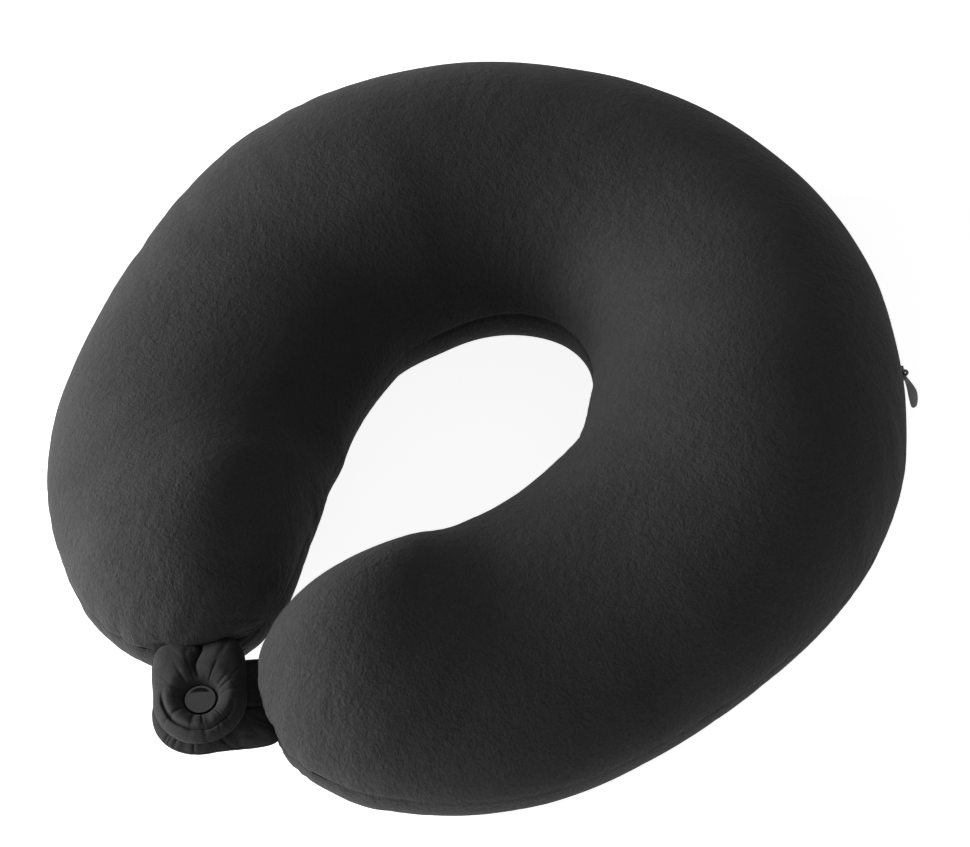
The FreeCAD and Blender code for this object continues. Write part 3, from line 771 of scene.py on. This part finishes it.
@dataclass
class TabPad:
    """One padded tab: its root on an arm's end, its own x along its length, z up."""

    name: str
    body: str
    root: Vector
    snap: Vector
    half_width: float
    above: float
    below: float
    fold: float
    seed: float
    squareness: float = 4.6
    tuck: float = 0.0030
    arm_radius: float = 0.042
    bend: float = 0.0045
    seat_radius: float = 0.0054
    seat_height: float = 0.0009
    fold_at_rim: float = 0.0012
    gather_depth: float = 0.0006
    edge_depth: float = 0.0005
    strap_swell: float = 0.0016
    strap_pleat: float = 0.0014
    thinnest: float = 0.0003
    rim_draw: float = 0.0006
    unevenness: float = 0.0006
    rings: int = 96
    spokes: int = 288

    def __post_init__(self) -> None:
        """Work out the tab's own frame."""
        along = self.snap - self.root
        along.z = 0.0
        self.reach = along.length
        self.along = along.normalized()
        self.across = Vector((0, 0, 1)).cross(self.along)
        turn = Matrix((self.along, self.across, Vector((0, 0, 1)))).transposed().to_4x4()
        self.frame = Matrix.Translation(self.root) @ turn

    def pull_in(self, place: Vector) -> float:
        """How far the sewn root pulls the arm's end in.

        Args:
            place: a point of the cover.

        Returns:
            The distance inwards, 0 away from the root.
        """
        local = self.frame.inverted() @ place
        if abs(local.x) > 0.02:
            return 0.0
        beside = smooth((self.half_width + 0.004 - abs(local.y)) / 0.008)
        return 0.0016 * beside * bell(local.z, 0.0028) + 0.0011 * beside * bell(local.z, 0.009)

    def outline(self, angle: float) -> float:
        """Trace the pad's rim.

        Args:
            angle: direction from the snap; pi points at the root.

        Returns:
            The distance from the snap to the rim.
        """
        x, y = math.cos(angle), math.sin(angle)
        if x >= 0:
            return self.half_width
        back = self.reach + self.tuck
        power = self.squareness
        total = (abs(x) / back) ** power + (abs(y) / self.half_width) ** power
        square = total ** (-1.0 / power)
        share = smooth(-x * 2.2)
        return self.half_width * (1 - share) + square * share

    def swell(self, share: float, angle: float, radius: float, upper: bool) -> float:
        """How high the pad's cloth stands off the rim's level.

        Args:
            share: share of the way from the snap, 0, to the rim, 1.
            angle: direction from the snap; pi points at the root.
            radius: distance from the snap.
            upper: whether the point is on the pad's upper side.

        Returns:
            The height, positive on both sides.
        """
        crown = self.above if upper else self.below
        plump = max(1.0 - share**3.2, 0.0) ** 0.5
        dish = 0.50 if upper else 0.30
        height = crown * plump * (1.0 - dish + dish * smooth((radius - 0.0045) / 0.0065))
        # gathered cloth radiates from the snap and from the rim's seam
        wobble = noise.noise(Vector((math.cos(angle) * 1.9, math.sin(angle) * 1.9, self.seed)))
        lines = ridge(angle * 2.2 + wobble, share * 0.8, self.seed + 4.0)
        height -= self.gather_depth * lines * bell(radius - 0.009, 0.0045) * (crown / 0.0056)
        edge = ridge(angle * 2.7 + wobble * 2, share * 1.5, self.seed)
        off_rim = 1.0 if share < 0.99 else 0.0
        height -= self.edge_depth * edge * smooth((share - 0.55) / 0.35) * off_rim
        # layered folds run along the outer rim
        if upper and self.fold and math.cos(angle) > -0.35:
            along_rim = smooth((math.cos(angle + 0.25) + 0.1) / 0.5)
            wander = 0.0005 * noise.noise(Vector((angle * 2.0, self.seed, 8.0)))
            from_rim = radius - self.half_width + 0.0034 + wander
            height -= self.fold_at_rim * along_rim * bell(from_rim, 0.0006)
        # the face folds in along a line from its root to the snap
        if upper and self.fold:
            aside = math.sin(angle) * radius - 0.0012 * math.sin(radius * 400.0)
            if math.cos(angle) < 0:
                deep = smooth((radius - 0.006) / 0.007)
                height -= self.fold * deep * bell(aside, 0.0007)
                wide = smooth((radius - 0.005) / 0.006)
                height -= 0.5 * self.fold * wide * bell(aside, 0.0030)
        # a strap without that fold swells at its root, with one pleat along it
        if upper and not self.fold and math.cos(angle) < 0:
            by_root = smooth((-math.cos(angle) * radius - 0.007) / 0.005)
            aside = math.sin(angle) * radius - 0.0035
            pleat = self.strap_pleat * bell(aside, 0.0007)
            height += by_root * plump * (self.strap_swell - pleat)
        # the snap is pressed down into its seat
        wall = smooth((radius - self.seat_radius) / 0.0018)
        return max(self.seat_height + (height - self.seat_height) * wall, self.thinnest)

    def build(self, nodes: Sequence[str]) -> bpy.types.Object:
        """Build the pad.

        Args:
            nodes: the frame's nodes that the pad stands for.

        Returns:
            The pad's object.
        """
        mesh = bmesh.new()
        bmesh.ops.create_uvsphere(
            mesh, u_segments=self.spokes, v_segments=self.rings, radius=1.0
        )
        for vertex in mesh.verts:
            flat = math.hypot(vertex.co.x, vertex.co.y)
            angle = math.atan2(vertex.co.y, vertex.co.x)
            upper = vertex.co.z >= 0
            share = min(flat, 1.0) ** 0.85
            radius = self.outline(angle) * share
            lean = self.unevenness * math.sin(angle * 3 + self.seed) * share
            height = self.swell(share, angle, radius, upper)
            if abs(vertex.co.z) < 1e-5:
                # the rim's seam draws the edge in
                radius -= self.rim_draw
                height = 0.0
            z = height if upper else -height
            x = math.cos(angle) * (radius + lean * 0.5)
            y = math.sin(angle) * (radius + lean * 0.5)
            # the root's corners follow the arm's round end
            x -= y * y / (2 * self.arm_radius) * smooth(-x / 0.012)
            local = Vector((self.reach + x, y, z))
            vertex.co = self.frame @ local
        piece = finish_mesh(mesh, f"{self.name}_pad")
        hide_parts(*nodes)
        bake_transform(piece)
        return piece


# --- Snap and zip ---------------------------------------------------------------------------------


@dataclass
class SnapCap:
    """Domed, lacquered cap of the press snap with a rolled rim."""

    name: str
    node: str
    body: str
    facing: int
    profile: tuple[tuple[float, float], ...] = (
        (0.0, 0.00135), (0.0011, 0.00133), (0.0022, 0.00125), (0.0033, 0.00108), (0.0040, 0.00088),
        (0.0043, 0.00080), (0.0046, 0.00081), (0.0049, 0.00088), (0.0052, 0.00080),
        (0.0053, 0.00050), (0.0052, 0.00020), (0.0048, 0.0),
    )
    seat_depth: float = 0.0017
    steps: int = 72
    weld: float = 0.000005

    def build(self) -> bpy.types.Object:
        """Spin the cap's profile about the snap's axis.

        Returns:
            The cap's object, which rides its tab.
        """
        low, high = (Vector(corner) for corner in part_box(self.node))
        middle = (low + high) / 2
        level = high.z - self.seat_depth if self.facing > 0 else low.z + self.seat_depth
        mesh = bmesh.new()
        path = []
        for radius, height in self.profile:
            place = (middle.x + radius, middle.y, level + self.facing * height)
            path.append(mesh.verts.new(place))
        path.append(mesh.verts.new((middle.x, middle.y, level)))
        edges = [mesh.edges.new(pair) for pair in zip(path, path[1:])]
        bmesh.ops.spin(
            mesh, geom=[*path, *edges], cent=(middle.x, middle.y, level), axis=(0, 0, 1),
            angle=2 * math.pi, steps=self.steps, use_merge=True,
        )
        bmesh.ops.remove_doubles(mesh, verts=mesh.verts, dist=self.weld)
        piece = finish_mesh(mesh, self.name)
        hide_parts(self.node)
        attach(piece, self.body)
        return piece


@dataclass
class ZipPull:
    """Leaf-shaped pull: a bent, rounded blade with a narrow neck below its ring."""

    eye: Vector
    outward: Vector
    length: float = 0.0215
    widest: float = 0.0019
    thickness: float = 0.0007
    lean: float = math.radians(19.0)
    twist: float = math.radians(62.0)
    ring_radius: float = 0.00150
    ring_wire: float = 0.00058
    ring_steps: int = 28
    neck: float = 0.0007
    neck_share: float = 0.08
    flare_share: float = 0.50
    widest_share: float = 0.58
    tip_share: float = 0.42
    arch: float = 0.0011

    def half_width(self, share: float) -> float:
        """Half the blade's width.

        Args:
            share: share of the blade's length, 0 at its ring.

        Returns:
            The half width there.
        """
        if share < self.widest_share:
            flare = smooth((share - self.neck_share) / self.flare_share)
            return self.neck + (self.widest - self.neck) * flare
        past = (share - self.widest_share) / self.tip_share
        return self.widest * math.sqrt(max(1.0 - past ** 2.2, 0.0))

    def add_ring(self, mesh: bmesh.types.BMesh, side: Vector) -> None:
        """Spin the ring that hangs in the slider's bail.

        Args:
            mesh: the pull's mesh, which gains the ring.
            side: the direction across the blade, which is the ring's axis.
        """
        wire = bmesh.ops.create_circle(mesh, segments=14, radius=self.ring_wire)["verts"]
        for vertex in wire:
            across, out = vertex.co.x, vertex.co.y
            vertex.co = self.eye + self.outward * (self.ring_radius + out) + side * across
        edges = {edge for vertex in wire for edge in vertex.link_edges}
        bmesh.ops.spin(
            mesh, geom=[*wire, *edges], cent=self.eye, axis=side,
            angle=2 * math.pi, steps=self.ring_steps, use_merge=True,
        )

    def build(self) -> bpy.types.Object:
        """Build the pull.

        Returns:
            The pull's object, which rides its joint.
        """
        mesh = bmesh.new()
        bmesh.ops.create_uvsphere(mesh, u_segments=32, v_segments=64, radius=1.0)
        side = Vector((-self.outward.y, self.outward.x, 0.0))
        for vertex in mesh.verts:
            share = (1.0 - vertex.co.z) / 2
            flat = max(math.hypot(vertex.co.x, vertex.co.y), 1e-9)
            wide = vertex.co.x / flat * self.half_width(share) * min(flat * 3.0, 1.0)
            deep = vertex.co.y / flat * self.thickness * min(flat * 2.0, 1.0)
            reach = self.ring_radius + share * self.length
            arch = self.arch * math.sin(math.pi * share)
            out = math.sin(self.lean) * reach + arch + deep
            drop = math.cos(self.lean) * reach - 0.2 * deep
            # the blade turns edge on to the cloth below its ring
            turn = self.twist * smooth(share / 0.25)
            out += wide * math.sin(turn)
            aside = wide * math.cos(turn)
            vertex.co = self.eye + side * aside + self.outward * out - Vector((0, 0, 1)) * drop
        self.add_ring(mesh, side)
        piece = finish_mesh(mesh, "zip_pull_leaf")
        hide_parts("zip_pull")
        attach(piece, "pull")
        return piece


# --- Studio ---------------------------------------------------------------------------------------


@dataclass(frozen=True)
class Lamp:
    """One soft box."""

    name: str
    place: tuple[float, float, float]
    size: float
    power: float


@dataclass
class Studio:
    """Plain pale floor, soft boxes, white surroundings and the camera."""

    aim: Vector
    azimuth: float = math.radians(36.8)
    elevation: float = math.radians(51.9)
    distance: float = 0.806
    lens: float = 82.0
    shift: tuple[float, float] = (-0.0026, -0.0373)
    sensor: float = 36.0
    near_clip: float = 0.01
    floor_size: float = 4.0
    floor_drop: float = 0.0002
    floor_glow: float = 0.90
    surround: float = 0.11
    boxes: tuple[Lamp, ...] = (
        Lamp("left_box", (-1.25, 0.10, 0.28), 0.8, 42.0),
        Lamp("front_box", (-0.15, -0.95, 0.95), 1.0, 7.0),
    )

    def directions(self) -> tuple[Vector, Vector, Vector]:
        """Work out how the camera is turned.

        Returns:
            The directions right, up and back of it.
        """
        back = Vector((
            math.sin(self.azimuth) * math.cos(self.elevation),
            -math.cos(self.azimuth) * math.cos(self.elevation),
            math.sin(self.elevation),
        ))
        right = Vector((math.cos(self.azimuth), math.sin(self.azimuth), 0.0))
        return right, back.cross(right), back

    def camera(self) -> None:
        """Place the camera at its viewing angle."""
        right, up, back = self.directions()
        data = bpy.data.cameras.new("camera")
        data.lens = self.lens
        data.sensor_width = self.sensor
        data.shift_x, data.shift_y = self.shift
        data.clip_start = self.near_clip
        camera = bpy.data.objects.new("camera", data)
        turn = Matrix((right, up, back)).transposed().to_4x4()
        camera.matrix_world = Matrix.Translation(self.aim + back * self.distance) @ turn
        bpy.context.scene.collection.objects.link(camera)
        bpy.context.scene.camera = camera

    def lamps(self, lamps: Sequence[Lamp]) -> None:
        """Hang the soft boxes, each turned to the pillow.

        Args:
            lamps: their places are right, up and back of the aim in the camera's directions.
        """
        axes = self.directions()
        for lamp in lamps:
            data = bpy.data.lights.new(lamp.name, "AREA")
            data.shape = "DISK"
            data.size = lamp.size
            data.energy = lamp.power
            light = bpy.data.objects.new(lamp.name, data)
            offset = sum((axis * share for axis, share in zip(axes, lamp.place)), Vector())
            place = self.aim + offset
            aimed = (place - self.aim).to_track_quat("Z", "Y").to_matrix().to_4x4()
            light.matrix_world = Matrix.Translation(place) @ aimed
            bpy.context.scene.collection.objects.link(light)

    def seen(self, nodes: NodeTree) -> bpy.types.NodeSocket:
        """Tell the rays that see the surroundings from those that light by them.

        Args:
            nodes: the tree that needs to know.

        Returns:
            A socket, 1 for rays from the camera and for mirrored and refracted ones, else 0.
        """
        path = nodes.add("ShaderNodeLightPath")
        both = nodes.math("MAXIMUM", path.outputs["Is Camera Ray"], path.outputs["Is Glossy Ray"])
        return nodes.math("MAXIMUM", both, path.outputs["Is Transmission Ray"])

    def floor(self) -> None:
        """Lay the pale floor, which shows white and keeps the pillow's shadow."""
        mesh = bmesh.new()
        bmesh.ops.create_grid(mesh, x_segments=2, y_segments=2, size=self.floor_size)
        floor = finish_mesh(mesh, "studio_floor", shade=False)
        floor.location.z = -self.floor_drop
        material = bpy.data.materials.new("studio_floor")
        material.use_nodes = True
        nodes = NodeTree(material.node_tree)
        shader = nodes.add("ShaderNodeBsdfPrincipled", Roughness=0.9)
        shader.inputs["Base Color"].default_value = (0.82, 0.82, 0.82, 1.0)
        shader.inputs["Specular IOR Level"].default_value = 0.0
        shader.inputs["Emission Color"].default_value = (1.0, 1.0, 1.0, 1.0)
        glow = nodes.math("MULTIPLY", self.seen(nodes), self.floor_glow)
        nodes.join(glow, shader.inputs["Emission Strength"])
        output = nodes.add("ShaderNodeOutputMaterial")
        nodes.join(shader.outputs[0], output.inputs["Surface"])
        floor.data.materials.append(material)

    def world(self, level: float) -> None:
        """Surround the scene with white that lights it only a little.

        Args:
            level: how strongly it lights.
        """
        world = bpy.data.worlds.new("studio")
        bpy.context.scene.world = world
        world.use_nodes = True
        nodes = NodeTree(world.node_tree)
        strength = nodes.add("ShaderNodeMapRange", **{"To Min": level, "To Max": 1.0})
        nodes.join(self.seen(nodes), strength.inputs["Value"])
        sky = nodes.add("ShaderNodeBackground", Color=(1.0, 1.0, 1.0, 1.0))
        nodes.join(strength.outputs[0], sky.inputs["Strength"])
        output = nodes.add("ShaderNodeOutputWorld")
        nodes.join(sky.outputs[0], output.inputs["Surface"])

    def build(self) -> None:
        """Set up everything round the pillow."""
        self.camera()
        self.floor()
        self.world(self.surround)
        self.lamps(self.boxes)
        bpy.context.scene.view_settings.view_transform = "Standard"


def node_middle(node: str) -> Vector:
    """Middle of a node's box at rest."""
    low, high = (Vector(corner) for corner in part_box(node))
    return (low + high) / 2


def main() -> None:
    """Build the studio, the cover, the tabs, the snap and the zip in order."""
    logging.basicConfig(level=logging.INFO, format="%(name)s: %(message)s")
    wardrobe = Wardrobe()
    Studio(aim=Vector((0.0, -0.1011, 0.0464))).build()
    snap = node_middle("snap_cap")
    upper = TabPad(
        "upper_tab",
        "upper_tab",
        root=Vector((-TAB_ROOT_ASIDE, TAB_ROOT_ALONG, UPPER_TAB_HEIGHT)),
        snap=snap,
        half_width=0.0156,
        above=0.0058,
        below=0.0026,
        fold=0.0020,
        seed=1.3,
    )
    lower = TabPad(
        "lower_tab",
        "lower_tab",
        root=Vector((TAB_ROOT_ASIDE, TAB_ROOT_ALONG, LOWER_TAB_HEIGHT)),
        snap=snap,
        half_width=0.0168,
        above=0.0028,
        below=0.0056,
        fold=0.0,
        seed=6.1,
        squareness=8.0,
    )
    cover = PillowCover().build([upper, lower])
    wardrobe.dress(cover, Finish.COVER)
    LOG.info("pillow_cover: %d faces", len(cover.data.polygons))
    for tab in (upper, lower):
        nodes = [f"{tab.name}_{layer}" for layer in ("face", "back", "wadding")]
        pad = tab.build(nodes)
        wardrobe.dress(pad, Finish.TAB)
        LOG.info("%s: %d faces", pad.name, len(pad.data.polygons))
    caps = (
        SnapCap("snap_top", "snap_cap", "upper_tab", facing=1),
        SnapCap("snap_underside", "snap_base_cap", "lower_tab", facing=-1),
    )
    for cap in caps:
        wardrobe.dress(cap.build(), Finish.LACQUER)
        LOG.info("%s: done", cap.name)
    outward = Vector((math.sin(PARK_ANGLE), math.cos(PARK_ANGLE), 0.0))
    wardrobe.dress(ZipPull(BAIL_MIDDLE, outward).build(), Finish.METAL)
    LOG.info("zip_pull_leaf: done")
    for finish, nodes in DRESSED_NODES:
        for node in nodes:
            wardrobe.dress_node(node, finish)


if __name__ == "__main__":
    main()
